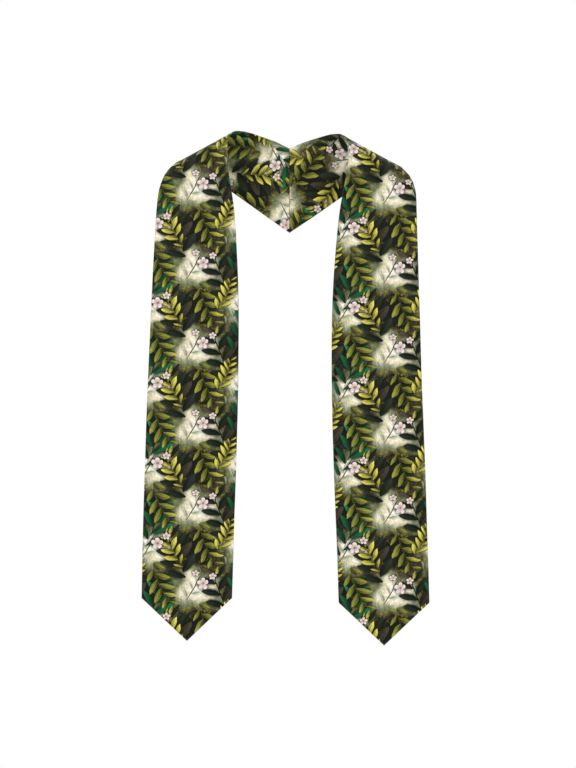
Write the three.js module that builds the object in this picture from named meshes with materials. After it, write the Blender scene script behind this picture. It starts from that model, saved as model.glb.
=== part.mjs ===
// A graduation stole as it is worn: two long cloth halves that lie over the shoulders and hang
// down the chest. Each half is a printed face and a printed lining, and the halves meet in a seam
// at the back of the neck.
// Millimetres, +Z up, and the front looks along -Y. Left and right are the viewer's, seen from the front.
// The origin lies midway between the shoulders, at the height of the neck edge's top.
import * as THREE from "three";

// Cloth
const LAYER = 1; // thickness of the face, and of the lining
const LAYER_GAP = 0.3; // clearance between the face and the lining
const SEAM_GAP = 0.3; // clearance between the two halves at the back seam

// Hanging panels
const PANEL_WIDTH = 138.5;
const CHEST_WIDTH = 117; // width at the chest line, where the panel starts
const PANEL_LENGTH = 595; // chest line to the corners of the point
const POINT_DEPTH = 65; // corners of the point to its tip
const PANEL_CENTRE = 139; // middle of the body to the panel's centre line, at the chest line
const SPLAY = 10.5; // how much further out the centre line is at the corners
const CHEST_BOW = 24; // how far the panel swings forward over the chest
const TURN = 5; // how far the panel's outer edge lies behind its inner edge
const CROWN = 4.5; // rise of the cloth's middle over its edges

// Shoulders and neck
const NECK_HALF_WIDTH = 91.5; // middle of the body to the neck edge, at the side of the neck
const SHOULDER_DEPTH = 56; // front to back through the shoulder
const SHOULDER_HEIGHT = 114; // top of the neck edge down to the chest line
const BACK_DROP = 154; // top of the neck edge down to the point of the back seam
const RIGHT_DROP = 7; // how much lower the right shoulder and panel hang
const SWAY = 6.8; // how far the panels hang to the left of the back seam

// Fineness of the mesh
const STEPS_PER_SECTION = 4;
const COLUMNS_EACH_SIDE = 5; // of the panel's centre line, which runs down to the tip
const SLOPE_STEP = 1e-3; // share of the cloth over which a slope is taken

// The sections are listed from the back seam, over the shoulder, to the point of the panel.
// Across is a share of the neck's half width for the inner edge, and of the shoulder's reach
// for the outer edge. Back is a share of the shoulder's depth, measured from its middle,
// and down is a share of the back's drop. Crown, sway and drop are shares of CROWN, SWAY
// and the side's own drop.
const BACK_SECTIONS = [
  {
    inner: { across: 0, back: 0.5, down: 0.163 },
    outer: { across: 0, back: 0.5, down: 1 },
    shares: { crown: 0, sway: 0, drop: 0 },
  },
  {
    inner: { across: 0.24, back: 0.5, down: 0.094 },
    outer: { across: 0.208, back: 0.53, down: 0.812 },
    shares: { crown: 0.2, sway: 0, drop: 0.2 },
  },
  {
    inner: { across: 0.48, back: 0.45, down: 0.044 },
    outer: { across: 0.44, back: 0.55, down: 0.6 },
    shares: { crown: 0.4, sway: 0, drop: 0.3 },
  },
  {
    inner: { across: 0.7, back: 0.3, down: 0.004 },
    outer: { across: 0.655, back: 0.5, down: 0.412 },
    shares: { crown: 0.35, sway: 0, drop: 0.45 },
  },
  {
    inner: { across: 0.89, back: 0.04, down: 0 },
    outer: { across: 0.824, back: 0.24, down: 0.297 },
    shares: { crown: -0.1, sway: 0.3, drop: 0.75 },
  },
];

// The same columns, with down as a share of the shoulder's height.
const SHOULDER_SECTIONS = [
  {
    inner: { across: 1, back: -0.28, down: 0.11 },
    outer: { across: 0.929, back: -0.02, down: 0.525 },
    shares: { crown: 0.45, sway: 0.25, drop: 1 },
  },
  {
    inner: { across: 1.005, back: -0.44, down: 0.3 },
    outer: { across: 0.978, back: -0.25, down: 0.7 },
    shares: { crown: 0.9, sway: 0.35, drop: 1 },
  },
  {
    inner: { across: 0.97, back: -0.5, down: 0.56 },
    outer: { across: 0.994, back: -0.36, down: 0.85 },
    shares: { crown: 1, sway: 0.5, drop: 1 },
  },
];

// Down is a share of PANEL_LENGTH, splay of SPLAY, flare of the growth from chest width to panel width,
// bow of CHEST_BOW, turn of TURN, crown of CROWN and sway of SWAY.
const PANEL_SECTIONS = [
  { down: 0, splay: 0, flare: 0, bow: 0, turn: 1, crown: 1, sway: 0.62 },
  { down: 0.118, splay: -0.14, flare: 0.42, bow: 0.4, turn: 1, crown: 0.9, sway: 0.78 },
  { down: 0.24, splay: -0.17, flare: 0.71, bow: 0.74, turn: 0.9, crown: 0.8, sway: 0.9 },
  { down: 0.424, splay: 0, flare: 0.92, bow: 0.97, turn: 0.6, crown: 0.7, sway: 1 },
  { down: 0.67, splay: 0.42, flare: 1.01, bow: 1, turn: 0.1, crown: 0.6, sway: 1 },
  { down: 0.86, splay: 0.78, flare: 0.97, bow: 0.96, turn: -0.4, crown: 0.6, sway: 0.95 },
  { down: 1, splay: 1, flare: 0.95, bow: 0.93, turn: -0.6, crown: 0.7, sway: 0.9 },
];

const COLUMNS = 2 * COLUMNS_EACH_SIDE;
const SHOULDER_REACH = PANEL_CENTRE + CHEST_WIDTH / 2;
const SIDES = [
  { name: "left", sign: -1, drop: 0 },
  { name: "right", sign: 1, drop: RIGHT_DROP },
];
const LAYERS = [
  { name: "face", from: LAYER_GAP / 2, colour: 0x5f6b3a },
  { name: "lining", from: -LAYER_GAP / 2 - LAYER, colour: 0x59643a },
];

// A point of the half on one side, moved by the section's share of the sway and of the side's drop.
function placed(side, across, back, down, shares) {
  return new THREE.Vector3(
    side.sign * across - shares.sway * SWAY,
    back,
    -down - shares.drop * side.drop,
  );
}

function collarSection(side, section, height) {
  const point = (edge, reach) =>
    placed(side, edge.across * reach, edge.back * SHOULDER_DEPTH, edge.down * height, section.shares);
  return {
    inner: point(section.inner, NECK_HALF_WIDTH),
    outer: point(section.outer, SHOULDER_REACH),
    crown: section.shares.crown * CROWN,
  };
}

function panelSection(side, section) {
  const centre = PANEL_CENTRE + section.splay * SPLAY;
  const half = (CHEST_WIDTH + section.flare * (PANEL_WIDTH - CHEST_WIDTH)) / 2;
  const front = -SHOULDER_DEPTH / 2 - section.bow * CHEST_BOW;
  const down = SHOULDER_HEIGHT + section.down * PANEL_LENGTH;
  const shares = { sway: section.sway, drop: 1 };
  return {
    inner: placed(side, centre - half, front, down, shares),
    outer: placed(side, centre + half, front + section.turn * TURN, down, shares),
    crown: section.crown * CROWN,
  };
}

// The middle surface of a half. Along runs from 0 at the back seam to 1 at the point,
// and across from 0 at the inner edge to 1 at the outer edge.
function middleSurface(side) {
  const sections = [
    ...BACK_SECTIONS.map((section) => collarSection(side, section, BACK_DROP)),
    ...SHOULDER_SECTIONS.map((section) => collarSection(side, section, SHOULDER_HEIGHT)),
    ...PANEL_SECTIONS.map((section) => panelSection(side, section)),
  ];
  const inner = new THREE.CatmullRomCurve3(sections.map((section) => section.inner));
  const outer = new THREE.CatmullRomCurve3(sections.map((section) => section.outer));
  const crowns = new THREE.CatmullRomCurve3(
    sections.map((section, index) => new THREE.Vector3(section.crown, index, 0)),
  );
  const intervals = sections.length - 1;
  return {
    intervals,
    at(along, across) {
      const from = inner.getPoint(along);
      const chord = outer.getPoint(along).sub(from);
      const heading = inner.getTangent(along).add(outer.getTangent(along));
      const out = heading.cross(chord).normalize().multiplyScalar(side.sign);
      const rise = crowns.getPoint(along).x * 4 * across * (1 - across);
      const pointing = POINT_DEPTH * Math.max(0, 1 - (1 - along) * intervals);
      return from
        .addScaledVector(chord, across)
        .addScaledVector(out, rise)
        .add(new THREE.Vector3(0, 0, -pointing * (1 - Math.abs(2 * across - 1))));
    },
  };
}

// The direction in which the face looks, at one point of the surface.
function outward(surface, side, along, across) {
  const before = surface.at(Math.max(0, along - SLOPE_STEP), across);
  const after = surface.at(Math.min(1, along + SLOPE_STEP), across);
  const inside = surface.at(along, Math.max(0, across - SLOPE_STEP));
  const outside = surface.at(along, Math.min(1, across + SLOPE_STEP));
  return after.sub(before).cross(outside.sub(inside)).normalize().multiplyScalar(side.sign);
}

// One layer of cloth of one half: a flat slab, bent onto the surface.
function clothLayer(side, layer) {
  const surface = middleSurface(side);
  const rows = surface.intervals * STEPS_PER_SECTION;
  const geometry = new THREE.BoxGeometry(1, 1, 1, COLUMNS, rows, 1);
  const position = geometry.getAttribute("position");
  for (let i = 0; i < position.count; i++) {
    const along = 0.5 - position.getY(i);
    const across = 0.5 + side.sign * position.getX(i);
    const height = layer.from + (position.getZ(i) + 0.5) * LAYER;
    const point = surface
      .at(along, across)
      .addScaledVector(outward(surface, side, along, across), height);
    const clear = side.sign * Math.max(SEAM_GAP / 2, side.sign * point.x);
    position.setXYZ(i, clear, point.y, point.z);
  }
  geometry.computeVertexNormals();
  const cloth = new THREE.MeshStandardMaterial({ color: layer.colour, roughness: 0.7, metalness: 0 });
  const mesh = new THREE.Mesh(geometry, cloth);
  mesh.name = `${side.name}_${layer.name}`;
  return mesh;
}

const stole = new THREE.Group();
for (const side of SIDES) {
  for (const layer of LAYERS) {
    stole.add(clothLayer(side, layer));
  }
}

export default stole;
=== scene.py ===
# A graduation stole as it is worn: two printed cloth halves, each with a face and a lining,
# which lie over the shoulders, meet in a mitred seam at the back of the neck and end in points.
# Metres, +Z up, and the front looks along -Y. Left and right are the viewer's, seen from the front.
import math

import bpy
import numpy as np
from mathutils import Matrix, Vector


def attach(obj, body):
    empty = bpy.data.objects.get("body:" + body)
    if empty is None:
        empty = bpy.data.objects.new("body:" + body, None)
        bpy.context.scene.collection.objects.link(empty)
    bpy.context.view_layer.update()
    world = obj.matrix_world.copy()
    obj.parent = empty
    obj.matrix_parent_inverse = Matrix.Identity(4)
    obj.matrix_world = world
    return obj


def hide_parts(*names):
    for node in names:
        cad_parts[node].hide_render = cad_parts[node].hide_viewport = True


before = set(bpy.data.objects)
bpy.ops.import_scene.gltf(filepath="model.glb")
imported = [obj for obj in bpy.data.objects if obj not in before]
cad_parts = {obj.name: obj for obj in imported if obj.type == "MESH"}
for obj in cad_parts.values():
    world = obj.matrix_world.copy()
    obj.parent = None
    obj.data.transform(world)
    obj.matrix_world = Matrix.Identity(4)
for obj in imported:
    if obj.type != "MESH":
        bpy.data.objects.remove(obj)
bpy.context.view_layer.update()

MM = 0.001

# The cut and the drape, as in the part's own source
PANEL_WIDTH = 138.5 * MM
CHEST_WIDTH = 117 * MM
PANEL_LENGTH = 595 * MM
POINT_DEPTH = 65 * MM
PANEL_CENTRE = 139 * MM
SPLAY = 10.5 * MM
CHEST_BOW = 24 * MM
TURN = 5 * MM
CROWN = 4.5 * MM
NECK_HALF_WIDTH = 91.5 * MM
SHOULDER_DEPTH = 56 * MM
SHOULDER_HEIGHT = 114 * MM
BACK_DROP = 154 * MM
RIGHT_DROP = 7 * MM
SWAY = 6.8 * MM
SHOULDER_REACH = PANEL_CENTRE + CHEST_WIDTH / 2

# The sewn layers, measured from the middle between the face and the lining
LAYER_CLEARANCE = 0.06 * MM
LAYER_TOP = 0.8 * MM
ALLOWANCE_WIDTH = 9 * MM  # seam allowance folded in behind the edge
ALLOWANCE_RISE = 0.25 * MM
ALLOWANCE_FADE = 2.5 * MM
EDGE_ROLL = 2.2 * MM  # width over which a pressed edge rounds off
SEAM_ROLL = 1.3 * MM  # the same at the back seam

# The pucker along the sewn edges
PUCKER_HEIGHT = 0.16 * MM
PUCKER_LENGTH = 11 * MM
PUCKER_REACH = 14 * MM
PUCKER_SLANT = 7  # radians from edge to edge of a panel
PUCKER_DRIFT = 1.9  # radians by which its waves come early and late by turns
PUCKER_DRIFT_LENGTH = 3.3  # puckers from one early one to the next

# The slow swell of the panels: a wave, and a smaller and shorter one that crosses it
SWELL_HEIGHT = 1.1 * MM
SWELL_LENGTH = 210 * MM
SWELL_SLANT = 5  # radians for each metre across
CROSS_SWELL = 0.6  # share of SWELL_HEIGHT
CROSS_SWELL_WAVES = 1.7  # to each SWELL_LENGTH
CROSS_SWELL_SLANT = -16
SWELL_END = 0.75 * PANEL_LENGTH  # height over the corners at which it has half faded
SWELL_FADE = 0.5 * PANEL_LENGTH

# Fineness of the meshes
ROW_STEP = 2.2 * MM
COLUMN_STEP = 3.2 * MM
EDGE_COLUMNS = (0, 0.35 * MM, 0.8 * MM, 1.4 * MM, 2.2 * MM, 3.4 * MM)
END_ROWS = [1.3 * column for column in EDGE_COLUMNS]
MEASURING_STEPS = 60  # to a section, to measure the length of a half
HEADING_STEP = 1e-4  # shares of the cloth over which its heading and its slopes are taken
SLOPE_STEP = 1e-3

# The map through which a layer's print is baked, in shares of its width
MAP_NAME = "OFBake"
MAP_GAP = 0.008
OUTER_WIDTH = 0.37
BACKING_WIDTH = (1 - 5 * MAP_GAP) / 2 - OUTER_WIDTH

# Across is a share of the neck's half width for the inner edge, and of the shoulder's reach for
# the outer edge. Back is a share of the shoulder's depth, and down of the height named beside
# the table. Crown, sway and drop are shares of CROWN, SWAY and the side's drop.
COLLAR_COLUMNS = (
    "inner_across", "inner_back", "inner_down",
    "outer_across", "outer_back", "outer_down",
    "crown", "sway", "drop",
)
BACK_SECTIONS = (  # down is a share of BACK_DROP
    (0, 0.5, 0.163, 0, 0.5, 1, 0, 0, 0),
    (0.24, 0.5, 0.094, 0.208, 0.53, 0.812, 0.2, 0, 0.2),
    (0.48, 0.45, 0.044, 0.44, 0.55, 0.6, 0.4, 0, 0.3),
    (0.7, 0.3, 0.004, 0.655, 0.5, 0.412, 0.35, 0, 0.45),
    (0.89, 0.04, 0, 0.824, 0.24, 0.297, -0.1, 0.3, 0.75),
)
SHOULDER_SECTIONS = (  # down is a share of SHOULDER_HEIGHT
    (1, -0.28, 0.11, 0.929, -0.02, 0.525, 0.45, 0.25, 1),
    (1.005, -0.44, 0.3, 0.978, -0.25, 0.7, 0.9, 0.35, 1),
    (0.97, -0.5, 0.56, 0.994, -0.36, 0.85, 1, 0.5, 1),
)
# Columns: down of PANEL_LENGTH, splay of SPLAY, flare from chest to panel width, bow of CHEST_BOW,
# turn of TURN, crown of CROWN and sway of SWAY.
PANEL_SECTIONS = (
    (0, 0, 0, 0, 1, 1, 0.62),
    (0.118, -0.14, 0.42, 0.4, 1, 0.9, 0.78),
    (0.24, -0.17, 0.71, 0.74, 0.9, 0.8, 0.9),
    (0.424, 0, 0.92, 0.97, 0.6, 0.7, 1),
    (0.67, 0.42, 1.01, 1, 0.1, 0.6, 1),
    (0.86, 0.78, 0.97, 0.96, -0.4, 0.6, 0.95),
    (1, 1, 0.95, 0.93, -0.6, 0.7, 0.9),
)
SIDES = {"left": (-1, 0), "right": (1, RIGHT_DROP)}  # sign, drop
LAYERS = {"lining": -1, "face": 1}  # the way in which the layer lies from the middle


def edges_of(sign, drop):
    """One half's inner edge, outer edge and crown, each at its sections from the back seam down."""
    inner, outer, crown = [], [], []

    def placed(across, back, down, sway, drop_share):
        return (sign * across - sway * SWAY, back, -down - drop_share * drop)

    for table, height in ((BACK_SECTIONS, BACK_DROP), (SHOULDER_SECTIONS, SHOULDER_HEIGHT)):
        for row in table:
            s = dict(zip(COLLAR_COLUMNS, row))
            hang = (s["sway"], s["drop"])
            for edge, line, reach in (("inner", inner, NECK_HALF_WIDTH), ("outer", outer, SHOULDER_REACH)):
                across, back, down = (s[f"{edge}_{way}"] for way in ("across", "back", "down"))
                line.append(placed(across * reach, back * SHOULDER_DEPTH, down * height, *hang))
            crown.append(s["crown"] * CROWN)
    for down, splay, flare, bow, turn, rise, sway in PANEL_SECTIONS:
        centre = PANEL_CENTRE + splay * SPLAY
        half_width = (CHEST_WIDTH + flare * (PANEL_WIDTH - CHEST_WIDTH)) / 2
        front = -SHOULDER_DEPTH / 2 - bow * CHEST_BOW
        low = SHOULDER_HEIGHT + down * PANEL_LENGTH
        inner.append(placed(centre - half_width, front, low, sway, 1))
        outer.append(placed(centre + half_width, front + turn * TURN, low, sway, 1))
        crown.append(rise * CROWN)
    return np.array(inner), np.array(outer), np.array(crown)


def knot_gap(a, b):
    """How far apart a curve's parameter puts two points: the root of their distance."""
    return np.linalg.norm(b - a, axis=1)[:, None] ** 0.5


def spline(points, share):
    """A centripetal Catmull-Rom curve through the points, at shares from 0 to 1 of its sections."""
    last = len(points) - 1
    ends = np.concatenate([[2 * points[0] - points[1]], points, [2 * points[-1] - points[-2]]])
    place = np.clip(share, 0, 1) * last
    k = np.minimum(place.astype(int), last - 1)
    t = (place - k)[:, None]
    p0, p1, p2, p3 = (ends[k + i] for i in range(4))
    d0, d1, d2 = knot_gap(p0, p1), knot_gap(p1, p2), knot_gap(p2, p3)
    m1 = d1 * ((p1 - p0) / d0 - (p2 - p0) / (d0 + d1) + (p2 - p1) / d1)
    m2 = d1 * ((p2 - p1) / d1 - (p3 - p1) / (d1 + d2) + (p3 - p2) / d2)
    return p1 + m1 * t + (3 * (p2 - p1) - 2 * m1 - m2) * t**2 + (2 * (p1 - p2) + m1 + m2) * t**3


def unit(vectors):
    """The vectors, each made 1 long."""
    return vectors / np.linalg.norm(vectors, axis=-1, keepdims=True)


def heading(edge, along):
    """The direction in which an edge runs down the half."""
    ahead = spline(edge, np.minimum(along + HEADING_STEP, 1))
    behind = spline(edge, np.maximum(along - HEADING_STEP, 0))
    return unit(ahead - behind)


def pointed(along, across, sections):
    """How far the point of the panel lowers the cloth."""
    depth = POINT_DEPTH * np.maximum(0, 1 - (1 - along) * sections)
    return depth[:, None] * (1 - np.abs(2 * across - 1))


def middle_surface(edges, sign, along, across):
    """The points of the surface midway between face and lining, at rows along and columns across."""
    inner, outer, crown = edges
    sections = len(inner) - 1
    a, b = spline(inner, along), spline(outer, along)
    out = sign * unit(np.cross(heading(inner, along) + heading(outer, along), b - a))
    rises = np.stack([crown, np.arange(sections + 1), np.zeros(sections + 1)], axis=1)
    rise = spline(rises, along)[:, 0]
    point = a[:, None] + (b - a)[:, None] * across[None, :, None]
    point = point + out[:, None] * (rise[:, None] * 4 * across * (1 - across))[:, :, None]
    point[:, :, 2] -= pointed(along, across, sections)
    return point


def unrolled(inner, outer):
    """The flat cut of a strip given by its two edges: both edges in the plane, every length kept."""
    length = np.linalg.norm

    def meet(p, q, from_p, from_q, turn):
        base = length(q - p)
        x = (from_p**2 - from_q**2 + base**2) / (2 * base)
        y = math.sqrt(max(from_p**2 - x**2, 0))
        ex = (q - p) / base
        return p + ex * x + np.array([-ex[1], ex[0]]) * y * turn

    width = length(outer[-1] - inner[-1])
    turn = 1 if inner[-1, 0] < outer[-1, 0] else -1
    flat_inner = [np.array([-turn * width / 2, 0.0])]
    flat_outer = [np.array([turn * width / 2, 0.0])]
    for k in range(len(inner) - 2, -1, -1):
        p, q = flat_inner[-1], flat_outer[-1]
        new_inner = meet(p, q, length(inner[k] - inner[k + 1]), length(inner[k] - outer[k + 1]), turn)
        new_outer = meet(new_inner, q, length(outer[k] - inner[k]), length(outer[k] - outer[k + 1]), turn)
        flat_inner.append(new_inner)
        flat_outer.append(new_outer)
    return np.array(flat_inner[::-1]), np.array(flat_outer[::-1])


def row_shares(edges):
    """Shares along a half for the mesh's rows: about ROW_STEP apart, and close together at both ends."""
    inner, outer, _ = edges
    fine = np.linspace(0, 1, (len(inner) - 1) * MEASURING_STEPS + 1)
    centre = (spline(inner, fine) + spline(outer, fine)) / 2
    run = np.concatenate([[0], np.cumsum(np.linalg.norm(np.diff(centre, axis=0), axis=1))])
    length = run[-1]
    steps = int((length - 2 * END_ROWS[-1]) / ROW_STEP)
    body = np.linspace(END_ROWS[-1], length - END_ROWS[-1], steps)
    places = np.concatenate([END_ROWS[:-1], body, [length - row for row in END_ROWS[-2::-1]]])
    return np.interp(places, run, fine)


def column_shares():
    """Shares across a panel for the mesh's columns, close together at both edges."""
    edge = [column / PANEL_WIDTH for column in EDGE_COLUMNS]
    count = 2 * round((1 - 2 * edge[-1]) * PANEL_WIDTH / COLUMN_STEP / 2)
    body = np.linspace(edge[-1], 1 - edge[-1], count + 1)
    return np.concatenate([edge[:-1], body, [1 - share for share in edge[-2::-1]]])


def flat_cut(edges, along, across):
    """Where each point of the mesh lies in the flat cut.
    On the chest x runs to the viewer's right, and y is the height over the panel's corners."""
    inner, outer, _ = edges
    flat_inner, flat_outer = unrolled(spline(inner, along), spline(outer, along))
    flat = flat_inner[:, None] + (flat_outer - flat_inner)[:, None] * across[None, :, None]
    flat[:, :, 1] -= pointed(along, across, len(inner) - 1)
    return flat


def line_distance(points, a, b):
    """How far points in the plane lie from the line through a and b."""
    run = (b - a) / np.linalg.norm(b - a)
    return np.abs((points[..., 0] - a[0]) * run[1] - (points[..., 1] - a[1]) * run[0])


def faded(distance, at, over):
    """1 well before a distance, 0 well after it, and smooth between."""
    t = np.clip((distance - at) / over + 0.5, 0, 1)
    return 1 - t * t * (3 - 2 * t)


def rolled(distance, over):
    """The profile of a pressed edge: 0 at the edge itself, and 1 from over on."""
    return np.sqrt(1 - (1 - np.clip(distance / over, 0, 1)) ** 2)


def movement(flat, edge, seam, sign):
    """How far the cloth stands out from its smooth surface: the pucker and the swell."""
    x, y = flat[:, :, 0], flat[:, :, 1]
    turn = 2 * math.pi / PUCKER_LENGTH * y
    drift = PUCKER_DRIFT * np.sin(turn / PUCKER_DRIFT_LENGTH + sign)
    pucker = PUCKER_HEIGHT * np.sin(turn + drift + PUCKER_SLANT * x / PANEL_WIDTH)
    pucker *= faded(np.minimum(edge, seam), PUCKER_REACH / 2, PUCKER_REACH)
    wave = 2 * math.pi / SWELL_LENGTH * y
    swell = np.sin(wave + SWELL_SLANT * x + sign)
    swell += CROSS_SWELL * np.sin(CROSS_SWELL_WAVES * wave + CROSS_SWELL_SLANT * x)
    swell *= SWELL_HEIGHT * faded(y, SWELL_END, SWELL_FADE)
    held = faded(seam, SEAM_ROLL, 2 * SEAM_ROLL)
    return (1 - held) * (pucker + swell)


def half(side):
    """What both layers of one half share: the surface and its outward direction, the flat cut,
    the distances from the free edges and from the back seam, and the columns' shares across."""
    sign, drop = SIDES[side]
    edges = edges_of(sign, drop)
    along, across = row_shares(edges), column_shares()
    point = middle_surface(edges, sign, along, across)
    ahead = middle_surface(edges, sign, np.minimum(along + SLOPE_STEP, 1), across)
    behind = middle_surface(edges, sign, np.maximum(along - SLOPE_STEP, 0), across)
    right = middle_surface(edges, sign, along, np.minimum(across + SLOPE_STEP, 1))
    left = middle_surface(edges, sign, along, np.maximum(across - SLOPE_STEP, 0))
    out = sign * unit(np.cross(ahead - behind, right - left))

    flat = flat_cut(edges, along, across)
    tip = flat[-1, len(across) // 2]
    width = np.linalg.norm(flat[:, -1] - flat[:, 0], axis=1)
    sides = np.minimum(across, 1 - across)[None, :] * width[:, None]
    points = np.minimum(line_distance(flat, flat[-1, 0], tip), line_distance(flat, tip, flat[-1, -1]))
    edge = np.minimum(sides, points)
    seam = line_distance(flat, flat[0, 0], flat[0, -1])
    return {
        "point": point + out * movement(flat, edge, seam, sign)[:, :, None],
        "out": out,
        "flat": flat,
        "across": across,
        "edge": edge,
        "seam": seam,
        "sign": sign,
    }


def faces_of(grid, flip):
    """The quads of a grid of vertex numbers. Its corners are two triangles each, cut from the corner."""
    quads = np.stack([grid[:-1, :-1], grid[1:, :-1], grid[1:, 1:], grid[:-1, 1:]], axis=-1)
    whole = np.ones(quads.shape[:2], bool)
    whole[[0, -1, -1, 0], [0, 0, -1, -1]] = False
    faces = quads[whole].tolist()
    for row, column, first in ((0, 0, 0), (-1, 0, 1), (-1, -1, 2), (0, -1, 3)):
        a, b, c, d = np.roll(quads[row, column], -first).tolist()
        faces += [[a, b, c], [a, c, d]]
    return [face[::-1] for face in faces] if flip else faces


def lay_out(mesh, row_of, across, height, outer_count):
    """Gives a layer its own map: the outer sheet in two lengths side by side,
    and the hidden backing beside them in two narrower ones."""
    vertex = np.zeros(len(mesh.loops), int)
    mesh.loops.foreach_get("vertex_index", vertex)
    first = np.zeros(len(mesh.polygons), int)
    mesh.polygons.foreach_get("loop_start", first)
    total = np.zeros(len(mesh.polygons), int)
    mesh.polygons.foreach_get("loop_total", total)
    middle_height = (height.min() + height.max()) / 2
    split = row_of[np.argmin(np.abs(height - middle_height) + np.abs(across - 0.5))]
    lower = np.repeat(np.minimum.reduceat(row_of[vertex], first) >= split, total)
    backing = np.repeat(np.arange(len(first)) >= outer_count, total)
    x, y = across[vertex], height[vertex]
    for length in (lower, ~lower):
        y[length] = (y[length] - y[length].min()) / np.ptp(y[length])
    width = np.where(backing, BACKING_WIDTH, OUTER_WIDTH)
    left = np.where(backing, 2 * (OUTER_WIDTH + MAP_GAP), 0) + lower * (width + MAP_GAP)
    place = np.stack([MAP_GAP + left + x * width, MAP_GAP + y * (1 - 2 * MAP_GAP)], axis=1)
    mesh.uv_layers.new(name=MAP_NAME).uv.foreach_set("vector", place.ravel())


def cloth_layer(name, shared, up, material):
    """One layer of a half, a thin closed sheet of an outer side and a backing with the same rim.
    up is 1 for the face and -1 for the lining."""
    edge, seam, sign = shared["edge"], shared["seam"], shared["sign"]
    rows, columns = edge.shape
    profile = np.minimum(rolled(edge, EDGE_ROLL), rolled(seam, SEAM_ROLL))
    allowance = ALLOWANCE_RISE * faded(np.minimum(edge, seam), ALLOWANCE_WIDTH, ALLOWANCE_FADE)
    top = LAYER_CLEARANCE / 2 + profile * (LAYER_TOP - LAYER_CLEARANCE / 2 + allowance)
    outer = shared["point"] + shared["out"] * (up * top)[:, :, None]
    backing = shared["point"] + shared["out"] * (up * LAYER_CLEARANCE / 2)
    inside = np.zeros((rows, columns), bool)
    inside[1:-1, 1:-1] = True
    number = np.arange(rows * columns).reshape(rows, columns)
    below = number.copy()
    below[inside] = rows * columns + np.arange(inside.sum())
    vertices = np.concatenate([outer.reshape(-1, 3), backing[inside]])
    vertices[:, 0] = sign * np.maximum(0, sign * vertices[:, 0])
    vertices[:columns, 0] = 0  # the halves meet in the seam

    facing = up * sign > 0
    outer_faces = faces_of(number, not facing)
    faces = outer_faces + faces_of(below, facing)
    mesh = bpy.data.meshes.new(name)
    mesh.from_pydata(vertices.tolist(), [], faces)
    mesh.polygons.foreach_set("use_smooth", np.ones(len(faces), bool))

    cut = np.concatenate([shared["flat"] * (up, 1), edge[:, :, None]], axis=2)
    cut = np.concatenate([cut.reshape(-1, 3), cut[inside]])
    mesh.attributes.new("cut", "FLOAT_VECTOR", "POINT").data.foreach_set("vector", cut.ravel())
    row_of, column_of = np.indices((rows, columns))
    row_of = np.concatenate([row_of.ravel(), row_of[inside]])
    column_of = np.concatenate([column_of.ravel(), column_of[inside]])
    lay_out(mesh, row_of, shared["across"][column_of], cut[:, 1], len(outer_faces))
    mesh.materials.append(material)
    piece = bpy.data.objects.new(name, mesh)
    bpy.context.collection.objects.link(piece)
    return piece


# The print: leafy sprigs and small blossoms over dark ground with patches of mist. It repeats every
# REPEAT up the cloth, and each of its places lies half a repeat lower than the one beside it.
# Lengths, places and widths in it are shares of the repeat.
REPEAT = 121.6 * MM
COLUMN_GAP = 0.57
SHADOW = (0.004, 0.006, 0.004)
OUTLINE = 0.004  # softness of a stem's outline and of a leaf's shadow on its inner side
TINY = 0.001  # keeps a divisor away from 0

# A noise's scale, detail and roughness
WOBBLE_NOISE = (7.0, 3.0, 0.5)
MIST_NOISE = (4.0, 7.0, 0.62)
MOSS_NOISE = (24.0, 5.0, 0.7)
BRUSH_NOISE = (40.0, 4.0, 0.6)

# The ground: mist whose tones run from the first stop to the last, moss on its middle tones, and
# the strokes of a brush over all
MIST_PLACE = (0.14, 0.12)  # across and up
MIST_CONTRAST = 0.34
MIST_ROUGHNESS = 0.9
MIST = (
    (0.0, (0.004, 0.006, 0.004)),
    (0.32, (0.01, 0.012, 0.007)),
    (0.42, (0.045, 0.034, 0.02)),
    (0.5, (0.1, 0.1, 0.04)),
    (0.57, (0.17, 0.19, 0.1)),
    (0.64, (0.31, 0.34, 0.25)),
    (0.71, (0.68, 0.62, 0.42)),
    (0.81, (0.96, 0.88, 0.7)),
    (1.0, (0.93, 0.94, 0.94)),
)
MOSS = (0.34, 0.32, 0.025)
MOSS_SHARE = 0.85
MOSS_SPECKS = (0.52, 0.66)  # values of its noise at which it starts and is full
MOSS_REACH = (0.12, 0.26)  # distances from the middle tone at which it is full and gone
BRUSH_STROKES = (0.3, 0.7)  # values of its noise for the darkest and the lightest stroke
BRUSH_LIGHT = (0.74, 1.08)
WOBBLE = 0.05  # how far the outlines stray

# A stem
STEM_TONE = 0.35  # of the darkest tone of its leaves
STEM_WIDTH = 0.009
STEM_TAPER = 0.3  # share of the stem from which it grows thinner

# The leaves of a stem, numbered from its middle up: their lengths beside the longest
TOP_LEAF = 0.45
BOTTOM_LEAF = 0.55
SHORT_LEAF = 0.8  # the shortest that chance makes one
SHORTER_FROM = -0.2  # share of the upper half from which they grow shorter upwards
SHORTER_PAST = 0.4  # numbers past the top one at which TOP_LEAF would be reached
BOTTOM_SPAN = 0.6  # numbers on each side of the bottom one over which the length grows
LAST_MARGIN = 0.1  # numbers past the last leaf at which the stem has no more
OTHER_SIDE = 30.0  # between the numbers of the leaves on the two sides, for other chances

# A leaf. Its light is a factor on its tone.
SWEEP = 0.9  # how far it bends up, for the square of its distance from the stem
FOOT_TAPER = 0.6  # powers of its outline
TIP_TAPER = 0.75
LEAF_SHADOW = 0.035
SHADOW_WIDTH = 0.6  # share of a leaf's width at which its shadow is full
FOOT_LIGHT = 0.4
TIP_LIGHT = 1.35
FOLD_LIGHT = 0.22  # how much one half is lighter, and the other darker
FOLD_WIDTH = 0.15
RIBS = 8.0
RIB_SLANT = 1.1
RIB_WIDTH = 0.14
RIB_LIGHT = 0.27
MIDRIB_WIDTH = (0.001, 0.004)
MIDRIB_LIGHT = 0.4

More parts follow.
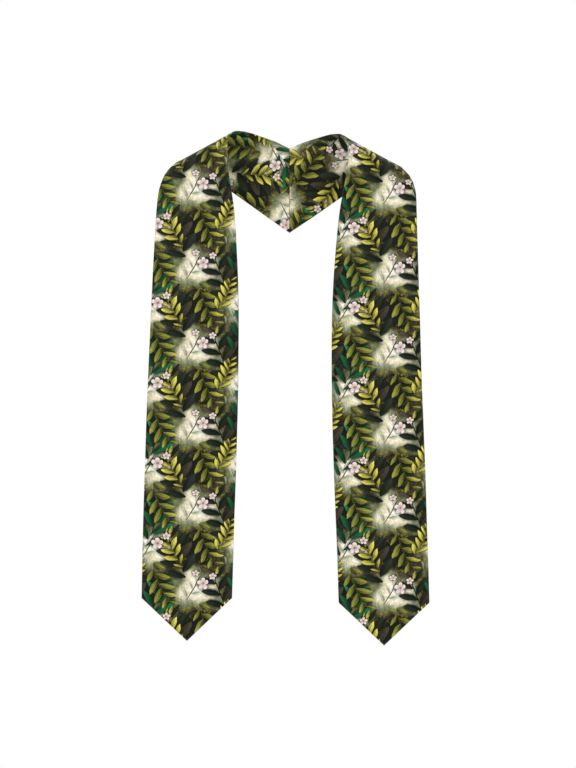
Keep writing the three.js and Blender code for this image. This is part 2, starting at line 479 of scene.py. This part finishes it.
# The leaves' tones
SAGE = ((0.0, (0.2, 0.25, 0.13)), (1.0, (0.42, 0.47, 0.3)))
NIGHT = ((0.0, (0.006, 0.011, 0.007)), (0.5, (0.016, 0.022, 0.012)), (1.0, (0.075, 0.05, 0.034)))
OLIVE = ((0.0, (0.11, 0.12, 0.02)), (0.5, (0.25, 0.25, 0.035)), (1.0, (0.48, 0.43, 0.07)))
EMERALD = ((0.0, (0.005, 0.045, 0.018)), (1.0, (0.014, 0.14, 0.05)))
LIME = ((0.0, (0.3, 0.28, 0.035)), (1.0, (0.6, 0.54, 0.09)))

# A sprig's place across and up, the columns from one to the next and its turn from upright (radians);
# its pairs of leaves, their distance and lean from the stem, the leaf's length and width,
# how far the stem bends, the softness of the outlines, the depth of the shadow, the seed and the tones.
SPRIG_COLUMNS = (
    "across", "up", "columns", "turn", "pairs", "pitch", "lean", "length", "width",
    "bend", "soft", "shadow", "seed", "tones",
)
SPRIGS = (
    (0.1, 0.15, 1, 0.5, 4, 0.12, 0.8, 0.2, 0.036, 0.4, 0.025, 0.15, 3, SAGE),
    (0.4, 0.1, 1, -0.35, 5, 0.15, 0.85, 0.36, 0.07, -0.3, 0.012, 0.55, 11, NIGHT),
    (0.75, 0.45, 2, 0.3, 4, 0.16, 0.75, 0.36, 0.055, 0.3, 0.008, 0.7, 31, EMERALD),
    (0.25, 0.62, 1, 2.7, 4, 0.13, 0.8, 0.27, 0.052, 0.4, 0.007, 0.8, 23, OLIVE),
    (0.95, 0.1, 2, -0.5, 4, 0.1, 0.75, 0.2, 0.038, -0.4, 0.006, 0.85, 43, LIME),
    (0.5, 0.8, 2, 0.4, 5, 0.09, 0.7, 0.17, 0.034, 0.5, 0.006, 0.85, 47, LIME),
)

# A blossom's place across and up, the columns from one to the next, and its radius
BLOSSOMS = (
    (0.2, 0.18, 1, 0.075),
    (0.32, 0.27, 1, 0.05),
    (0.11, 0.31, 2, 0.04),
)
PETALS = 5
PETAL_ROUNDNESS = 0.6
PETAL = (0.8, 0.66, 0.64)
PETAL_LIGHT = (0.6, 1.1)  # at the middle and at the rim
PETAL_OUTLINE = 0.005
GAP_LIGHT = 0.7  # between two petals
HEART = (0.35, 0.2, 0.04)
HEART_RIM = (0.16, 0.24)  # shares of the radius between which the heart ends
BLOSSOM_SHADOW = 0.7
BLOSSOM_SHADOW_RIM = (0.8, 1.4)  # shares of the radius between which it fades

# The satin weave
THREAD_WIDTH = 0.36 * MM
FLOAT_LENGTH = 1.8 * MM  # from one dip of a thread to its next
THREAD_RISE = 0.05 * MM
GROOVE = 0.16  # depth of the groove between two threads, as a share of THREAD_RISE
THREAD_FLAT = 0.1  # share of a thread's width that is flat, on each side of its middle
DIP = 0.7  # depth of a dip, as a share of THREAD_RISE
DIP_LENGTH = 0.16  # from its middle to its end, as a share of FLOAT_LENGTH
DIP_SPREAD = 7.0  # floats by which one thread's dips may lie off another's
WEAVE_LIGHT = (0.88, 1.03)  # in a dip and on a float
THREAD_LIGHT = (0.95, 1.05)  # the darkest and the lightest thread

# The pressed edge
WORN = (0.55, 0.54, 0.46)
WORN_SHARE = 0.22
WORN_WIDTH = 0.6 * MM


class Net:
    """Short calls for the nodes of one material."""

    def __init__(self, tree):
        self.tree = tree

    def node(self, kind, values=(), **settings):
        made = self.tree.nodes.new(kind)
        for key, value in settings.items():
            setattr(made, key, value)
        for place, value in dict(values).items():
            self.put(made.inputs[place], value)
        return made

    def put(self, socket, value):
        if isinstance(value, bpy.types.NodeSocket):
            self.tree.links.new(value, socket)
        elif isinstance(value, tuple) and socket.type == "RGBA":
            socket.default_value = (*value, 1)
        else:
            socket.default_value = value

    def math(self, operation, *values):
        return self.node("ShaderNodeMath", enumerate(values), operation=operation).outputs[0]

    def add(self, a, b):
        return self.math("ADD", a, b)

    def less(self, a, b):
        return self.math("SUBTRACT", a, b)

    def times(self, a, b):
        return self.math("MULTIPLY", a, b)

    def over(self, a, b):
        return self.math("DIVIDE", a, b)

    def times_add(self, a, b, c):
        return self.math("MULTIPLY_ADD", a, b, c)

    def size(self, a):
        return self.math("ABSOLUTE", a)

    def limits(self, value, low, high, to_low=0.0, to_high=1.0):
        """value mapped smoothly from low and high to to_low and to_high, and held there beyond."""
        values = {"Value": value, "From Min": low, "From Max": high, "To Min": to_low, "To Max": to_high}
        return self.node("ShaderNodeMapRange", values, interpolation_type="SMOOTHSTEP").outputs[0]

    def blend(self, share, a, b):
        """a, with a share of b over it."""
        made = self.node("ShaderNodeMix", data_type="RGBA")
        self.put(made.inputs[0], share)
        self.put(made.inputs[6], a)
        self.put(made.inputs[7], b)
        return made.outputs[2]

    def ramp(self, value, stops):
        made = self.node("ShaderNodeValToRGB", {0: value})
        ends = made.color_ramp.elements
        while len(ends) < len(stops):
            ends.new(0.5)
        for end, (place, colour) in zip(ends, stops):
            end.position = place
            end.color = (*colour, 1)
        return made.outputs[0]

    def noise(self, place, look, output="Fac"):
        """Noise at a place in four dimensions, a vector and a fourth number."""
        vector, fourth = place
        scale, detail, roughness = look
        values = {"Scale": scale, "Detail": detail, "Roughness": roughness, "Vector": vector, "W": fourth}
        return self.node("ShaderNodeTexNoise", values, noise_dimensions="4D").outputs[output]

    def chance(self, number):
        """A random number from 0 to 1 for each whole number."""
        return self.node("ShaderNodeTexWhiteNoise", {"W": number}, noise_dimensions="1D").outputs["Value"]

    def shaded(self, colour, share):
        """colour, times a number."""
        return self.node("ShaderNodeVectorMath", {0: colour, "Scale": share}, operation="SCALE").outputs[0]

    def split(self, vector):
        return self.node("ShaderNodeSeparateXYZ", {0: vector}).outputs

    def joined(self, *values):
        return self.node("ShaderNodeCombineXYZ", enumerate(values)).outputs[0]


def around(net, x, y, across, up, columns):
    """x and y seen from the nearest of a motif's places, each half a repeat lower than the one before."""
    gap = columns * COLUMN_GAP
    column = net.math("ROUND", net.over(net.less(x, across), gap))
    near = net.less(net.less(x, across), net.times(column, gap))
    level = net.math("WRAP", net.times_add(column, 0.5, net.less(y, up)), 0.5, -0.5)
    return near, level


def turned(net, x, y, angle):
    """A place as seen along a line that leans from upright by the angle: along it, and off it."""
    sine, cosine = math.sin(angle), math.cos(angle)
    along = net.times_add(x, sine, net.times(y, cosine))
    off = net.times_add(x, cosine, net.times(y, -sine))
    return along, off


def leaf_growth(net, leaf, chance, ends):
    """The length of a leaf by its number up the stem: less near both ends of the stem, none beyond."""
    growth = net.limits(leaf, SHORTER_FROM * ends, ends + SHORTER_PAST, 1.0, TOP_LEAF)
    bottom = net.limits(leaf, -ends - BOTTOM_SPAN, -ends + BOTTOM_SPAN, BOTTOM_LEAF, 1.0)
    growth = net.times(growth, bottom)
    growth = net.times(growth, net.math("LESS_THAN", net.size(leaf), ends + LAST_MARGIN))
    return net.times(growth, net.limits(chance, 0.0, 1.0, SHORT_LEAF, 1.0))


def leaf_outline(net, run):
    """The width of a leaf at a run from 0 at its foot to 1 at its tip."""
    held = net.math("MINIMUM", net.math("MAXIMUM", run, 0.0), 1.0)
    foot = net.math("POWER", held, FOOT_TAPER)
    return net.times(foot, net.math("POWER", net.less(1.0, held), TIP_TAPER))


def leaf_light(net, run, side, width, shadow):
    """The light on a leaf: more to its tip and on one half, less on its ribs and more on its midrib."""
    share = net.over(side, net.math("MAXIMUM", width, TINY))
    fold = net.limits(share, -FOLD_WIDTH, FOLD_WIDTH, -FOLD_LIGHT, FOLD_LIGHT)
    ribs = net.times_add(net.size(share), -RIB_SLANT, net.times(run, RIBS))
    ribs = net.size(net.less(net.math("FRACT", ribs), 0.5))
    light = net.add(net.limits(run, 0.0, 1.0, FOOT_LIGHT, TIP_LIGHT), fold)
    light = net.add(light, net.limits(ribs, 0.0, RIB_WIDTH, -RIB_LIGHT * shadow, 0.0))
    return net.add(light, net.limits(net.size(side), *MIDRIB_WIDTH, MIDRIB_LIGHT, 0.0))


def sprig(net, x, y, ground, row):
    """Paints one kind of sprig over ground: a bent stem with leaves on its two sides by turns."""
    s = dict(zip(SPRIG_COLUMNS, row))
    ends = s["pairs"] / 2
    x, y = around(net, x, y, s["across"], s["up"], s["columns"])
    up, off = turned(net, x, y, s["turn"])
    off = net.times_add(net.times(up, up), s["bend"], off)
    reach = net.size(off)
    up = net.times_add(net.times(reach, reach), SWEEP, up)

    stagger = net.times(net.math("LESS_THAN", off, 0.0), 0.5)
    foot = net.times_add(reach, -1 / math.tan(s["lean"]), up)
    leaf = net.math("ROUND", net.times_add(foot, 1 / s["pitch"], stagger))
    rise = net.less(up, net.times(net.less(leaf, stagger), s["pitch"]))
    number = net.add(leaf, net.times(stagger, 2 * OTHER_SIDE))
    chance = net.chance(net.add(number, s["seed"]))
    growth = leaf_growth(net, leaf, chance, ends)
    run, side = turned(net, reach, rise, s["lean"])
    run = net.over(run, net.times(net.math("MAXIMUM", growth, TINY), s["length"]))
    width = net.times(leaf_outline(net, run), net.times(growth, 2.0 * s["width"]))
    spare = net.less(width, net.size(side))

    shade = net.limits(spare, -LEAF_SHADOW, OUTLINE, 0.0, s["shadow"])
    shade = net.times(shade, net.limits(width, 0.0, SHADOW_WIDTH * s["width"]))
    ground = net.blend(shade, ground, SHADOW)
    tip = (ends + 0.5) * s["pitch"]
    thickness = net.limits(net.size(up), STEM_TAPER * tip, tip, STEM_WIDTH, 0.0)
    stem = net.limits(net.less(thickness, reach), 0.0, OUTLINE)
    ground = net.blend(stem, ground, tuple(STEM_TONE * c for c in s["tones"][0][1]))
    light = leaf_light(net, run, side, width, s["shadow"])
    leaves = net.shaded(net.ramp(chance, s["tones"]), light)
    return net.blend(net.limits(spare, 0.0, s["soft"]), ground, leaves)


def blossom(net, x, y, ground, row):
    """Paints one kind of blossom over ground."""
    across, up, columns, size = row
    x, y = around(net, x, y, across, up, columns)
    radius = net.math("SQRT", net.times_add(x, x, net.times(y, y)))
    petals = net.size(net.math("COSINE", net.times(net.math("ARCTAN2", x, y), PETALS / 2)))
    rim = net.times(net.times_add(net.math("POWER", petals, PETAL_ROUNDNESS), 0.5, 0.5), size)
    fade_from, fade_to = (share * size for share in BLOSSOM_SHADOW_RIM)
    ground = net.blend(net.limits(radius, fade_from, fade_to, BLOSSOM_SHADOW, 0.0), ground, SHADOW)
    light = net.limits(radius, 0.0, size, *PETAL_LIGHT)
    light = net.times(light, net.limits(petals, 0.0, 0.5, GAP_LIGHT, 1.0))
    spare = net.less(rim, radius)
    ground = net.blend(net.limits(spare, 0.0, PETAL_OUTLINE), ground, net.shaded(PETAL, light))
    heart_from, heart_to = (share * size for share in HEART_RIM)
    return net.blend(net.limits(radius, heart_from, heart_to, 1.0, 0.0), ground, HEART)


def circled(net, x, y):
    """A place whose noise repeats with the print: x and y each wound round a circle in four dimensions."""
    turns = []
    for value, period in ((x, 2 * COLUMN_GAP), (y, 1.0)):
        angle = net.times(value, 2 * math.pi / period)
        radius = period / (2 * math.pi)
        turns += [net.times(net.math(wave, angle), radius) for wave in ("COSINE", "SINE")]
    return net.joined(*turns[:3]), turns[3]


def misty(net, x, y, wound):
    """The ground of the print."""
    across = net.math("COSINE", net.times(net.less(x, MIST_PLACE[0]), math.pi / COLUMN_GAP))
    upward = net.math("COSINE", net.times(net.less(y, MIST_PLACE[1]), 2 * math.pi))
    cloud = net.times_add(net.times(across, upward), MIST_CONTRAST, 0.5)
    rough = net.less(net.noise(wound, MIST_NOISE), 0.5)
    colour = net.ramp(net.times_add(rough, MIST_ROUGHNESS, cloud), MIST)
    speck = net.limits(net.noise(wound, MOSS_NOISE), *MOSS_SPECKS)
    middling = net.limits(net.size(net.less(cloud, 0.5)), *MOSS_REACH, MOSS_SHARE, 0.0)
    return net.blend(net.times(speck, middling), colour, MOSS)


def printed(net, cut):
    """The colour of the print at a place of the flat cut."""
    place = net.split(net.shaded(cut, 1 / REPEAT))
    wound = circled(net, place[0], place[1])
    wobble = net.split(net.noise(wound, WOBBLE_NOISE, "Color"))
    x, y = (net.times_add(net.less(w, 0.5), WOBBLE, p) for w, p in zip(wobble[:2], place[:2]))
    colour = misty(net, x, y, wound)
    for row in SPRIGS:
        colour = sprig(net, x, y, colour, row)
    for row in BLOSSOMS:
        colour = blossom(net, x, y, colour, row)
    brush = net.limits(net.noise(wound, BRUSH_NOISE), *BRUSH_STROKES, *BRUSH_LIGHT)
    return net.shaded(colour, brush)


def woven(net, place):
    """The height of a satin weave, from 0 to 1, and a random number for each thread. The threads run
    up the cloth and dip at places of their own, so that a baked map shows no bands."""
    thread = net.over(place[0], THREAD_WIDTH)
    chance = net.chance(net.math("FLOOR", thread))
    centre = net.size(net.less(net.math("FRACT", thread), 0.5))
    dip = net.times_add(place[1], 1 / FLOAT_LENGTH, net.times(chance, DIP_SPREAD))
    dip = net.size(net.less(net.math("FRACT", dip), 0.5))
    height = net.limits(centre, THREAD_FLAT, 0.5, 1.0, 1 - GROOVE)
    height = net.times(height, net.limits(dip, 0.0, DIP_LENGTH, 1 - DIP, 1.0))
    return height, chance


def print_material(name):
    """Printed polyester satin: the print, a fine weave, a soft sheen and edges pressed a little paler."""
    material = bpy.data.materials.new(name)
    material.use_nodes = True
    net = Net(material.node_tree)
    net.tree.nodes.clear()
    cut = net.node("ShaderNodeAttribute", attribute_name="cut").outputs["Vector"]
    parts = net.split(cut)
    edge = parts[2]
    colour = net.blend(net.limits(edge, 0.0, WORN_WIDTH, WORN_SHARE, 0.0), printed(net, cut), WORN)
    weave, thread = woven(net, parts)
    light = net.limits(weave, 1 - DIP, 1.0, *WEAVE_LIGHT)
    colour = net.shaded(colour, net.times(light, net.limits(thread, 0.0, 1.0, *THREAD_LIGHT)))
    bump = net.node("ShaderNodeBump", {"Strength": 0.5, "Distance": THREAD_RISE, "Height": weave})
    shader = net.node("ShaderNodeBsdfPrincipled", {
        "Base Color": colour,
        "Roughness": 0.5,
        "Specular IOR Level": 0.07,
        "Sheen Weight": 0.01,
        "Sheen Roughness": 0.4,
        "Normal": bump.outputs[0],
    })
    output = net.node("ShaderNodeOutputMaterial", {0: shader.outputs[0]})
    output.is_active_output = True
    return material


# Stage
PIXEL = 1.52 * MM  # real length of one pixel of the 576 x 768 picture
PICTURE = (576, 768)
NECK_PIXEL = (289.5, 131)  # where the origin is seen
CAMERA_DISTANCE = 12
MEASURED_DEPTH = -20 * MM  # where a pixel is that long: the middle of the stole's depth
SENSOR = 36  # millimetres, as the camera's settings take it
FLOOR_HEIGHT = -1.25
FLOOR_SIZE = 10
FLOOR_COLOUR = (0.96, 0.96, 0.955, 1)
FLOOR_GLOW = 0.07  # makes the floor as white as the walls
AMBIENT = 0.92  # of the studio on the cloth; its walls are seen white
# Large soft lights: place, size and power
LIGHTS = (
    ((-1.8, -3.2, 1.2), 2.4, 30),
    ((2.2, -2.8, 0.4), 2.4, 12),
    ((0.4, 2.6, 1.6), 2.0, 14),
)
LIGHTS_AIM = (0, 0, -0.38)


def make_camera():
    """A long lens straight before the stole, framed as in the picture."""
    data = bpy.data.cameras.new("camera")
    data.sensor_width = SENSOR
    data.lens = SENSOR * CAMERA_DISTANCE / (PICTURE[1] * PIXEL)
    camera = bpy.data.objects.new("camera", data)
    camera.location = (
        (PICTURE[0] / 2 - NECK_PIXEL[0]) * PIXEL,
        MEASURED_DEPTH - CAMERA_DISTANCE,
        (NECK_PIXEL[1] - PICTURE[1] / 2) * PIXEL,
    )
    camera.rotation_euler = (math.pi / 2, 0, 0)
    bpy.context.collection.objects.link(camera)
    bpy.context.scene.camera = camera


def make_lights():
    """The soft lights, and a white studio round them."""
    for place, size, power in LIGHTS:
        data = bpy.data.lights.new("soft light", "AREA")
        data.size = size
        data.energy = power
        light = bpy.data.objects.new("soft light", data)
        light.location = place
        away = Vector(np.subtract(place, LIGHTS_AIM))
        light.rotation_euler = away.to_track_quat("Z", "Y").to_euler()
        bpy.context.collection.objects.link(light)
    world = bpy.data.worlds.new("studio")
    world.use_nodes = True
    net = Net(world.node_tree)
    net.tree.nodes.clear()
    seen = net.node("ShaderNodeLightPath").outputs["Is Camera Ray"]
    strength = net.limits(seen, 0.0, 1.0, AMBIENT, 1.0)
    sky = net.node("ShaderNodeBackground", {"Color": (1.0, 1.0, 1.0), "Strength": strength})
    net.node("ShaderNodeOutputWorld", {0: sky.outputs[0]})
    bpy.context.scene.world = world
    bpy.context.scene.view_settings.view_transform = "Standard"


def make_floor():
    """A pale floor well below the points."""
    bpy.ops.mesh.primitive_plane_add(size=FLOOR_SIZE, location=(0, 0, FLOOR_HEIGHT))
    floor = bpy.context.object
    floor.name = "floor"
    paint = bpy.data.materials.new("pale floor")
    paint.use_nodes = True
    shader = paint.node_tree.nodes["Principled BSDF"]
    shader.inputs["Base Color"].default_value = FLOOR_COLOUR
    shader.inputs["Roughness"].default_value = 0.8
    shader.inputs["Emission Color"].default_value = (1, 1, 1, 1)
    shader.inputs["Emission Strength"].default_value = FLOOR_GLOW
    floor.data.materials.append(paint)


make_camera()
make_lights()
make_floor()
satin = {"face": print_material("printed face"), "lining": print_material("printed lining")}
for side in SIDES:
    shared = half(side)
    for layer, up in LAYERS.items():
        node = f"{side}_{layer}"
        piece = cloth_layer(f"{node}_cloth", shared, up, satin[layer])
        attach(piece, "root")
        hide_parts(node)
